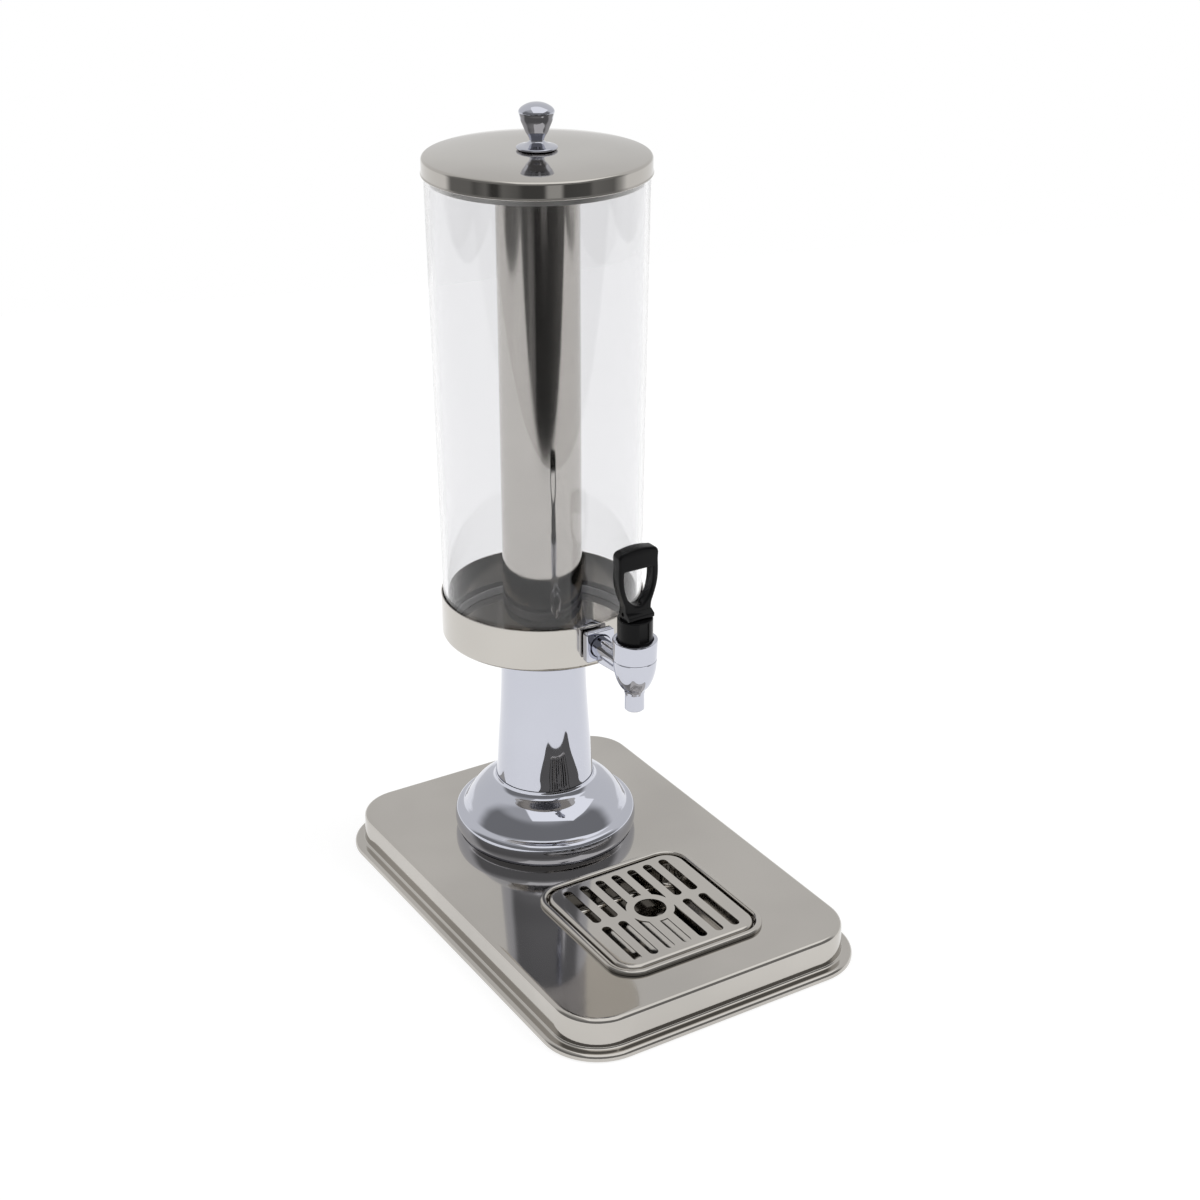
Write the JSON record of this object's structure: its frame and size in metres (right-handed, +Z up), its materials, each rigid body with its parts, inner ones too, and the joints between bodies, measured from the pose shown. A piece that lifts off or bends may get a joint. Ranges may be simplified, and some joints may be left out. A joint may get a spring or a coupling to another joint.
{
  "type": "juice dispenser",
  "caption": "Countertop cold drink dispenser: clear cylindrical tank with an ice tube, a lift-off lid and a lever tap, on a chromed column over a rectangular base with a drip pan.",
  "frame": {"origin": "on the floor under the middle of the rectangular base", "axes": "+Z up; the tap, the drip pan and the user's side face -Y; +X is to the right seen from the front"},
  "size_m": [0.22, 0.322, 0.512],
  "materials": {
    "polished_steel": "stainless sheet polished to a slightly soft mirror, warm grey",
    "chrome": "bright plating, mirror smooth",
    "plain_steel": "plain turned or stamped steel, satin",
    "clear_polycarbonate": "clear, smooth and glossy, with a very faint lavender tint",
    "black_plastic": "moulded, black, glossy",
    "black_rubber": "moulded black rubber, matt",
    "white_silicone": "food-grade silicone, translucent white, matt"
  },
  "bodies": {
    "frame": {"base_pan": "polished_steel", "rubber_foot_front_left": "black_rubber", "rubber_foot_front_right": "black_rubber", "rubber_foot_rear_left": "black_rubber", "rubber_foot_rear_right": "black_rubber", "foot_boss_front_left": "plain_steel", "foot_boss_front_right": "plain_steel", "foot_boss_rear_left": "plain_steel", "foot_boss_rear_right": "plain_steel", "foot_screw_front_left": "plain_steel", "foot_screw_front_right": "plain_steel", "foot_screw_rear_left": "plain_steel", "foot_screw_rear_right": "plain_steel", "column_foot": "chrome", "column_tube": "chrome", "tray_boss": "plain_steel", "base_stiffener": "plain_steel", "rod_washer": "plain_steel", "rod_nut": "plain_steel", "tie_rod": "plain_steel", "tank_tray": "polished_steel", "tank_seal": "white_silicone", "tank_cylinder": "clear_polycarbonate", "tap_body": "chrome", "flange_nut": "chrome", "outer_seal": "black_rubber", "inner_seal": "white_silicone", "lock_nut": "chrome", "tap_bonnet": "black_plastic", "valve_spring": "plain_steel"},
    "lid": {"lid": "polished_steel", "lid_plug_ring": "polished_steel", "lid_knob": "chrome", "knob_washer": "chrome", "knob_screw": "plain_steel"},
    "ice_tube": {"ice_tube": "polished_steel", "ice_tube_base": "polished_steel"},
    "drip_pan": {"drip_pan": "polished_steel"},
    "drip_grille": {"drip_grille": "polished_steel"},
    "valve": {"valve_stem": "plain_steel", "seat_cup": "white_silicone", "lever_pin": "plain_steel"},
    "lever": {"tap_lever": "black_plastic"}
  },
  "joints": [
    {"name": "lid_lift", "type": "slide", "parent": "frame", "child": "lid", "axis": [0, 0, 1], "range_m": [0, 0.4]},
    {"name": "ice_tube_lift", "type": "slide", "parent": "frame", "child": "ice_tube", "axis": [0, 0, 1], "range_m": [0, 0.32]},
    {"name": "drip_pan_lift", "type": "slide", "parent": "frame", "child": "drip_pan", "axis": [0, 0, 1], "range_m": [0, 0.06]},
    {"name": "drip_grille_lift", "type": "slide", "parent": "drip_pan", "child": "drip_grille", "axis": [0, 0, 1], "range_m": [0, 0.03]},
    {"name": "stem_lift", "type": "slide", "parent": "frame", "child": "valve", "axis": [0, 0, 1], "range_m": [0, 0.00314], "deforming": ["valve_spring"]},
    {"name": "lever_tilt", "type": "hinge", "parent": "valve", "child": "lever", "pos_m": [0, -0.04915, 0.2277], "axis": [1, 0, 0], "range_deg": [0, 40], "stiffness_Nm_per_rad": 0.03, "springref_deg": -38.22}
  ],
  "couplings": [
    {"joint": "ice_tube_lift", "follows": "lid_lift", "ratio": 0.8},
    {"joint": "stem_lift", "follows": "lever_tilt", "m_per_rad": 0.0045}
  ]
}
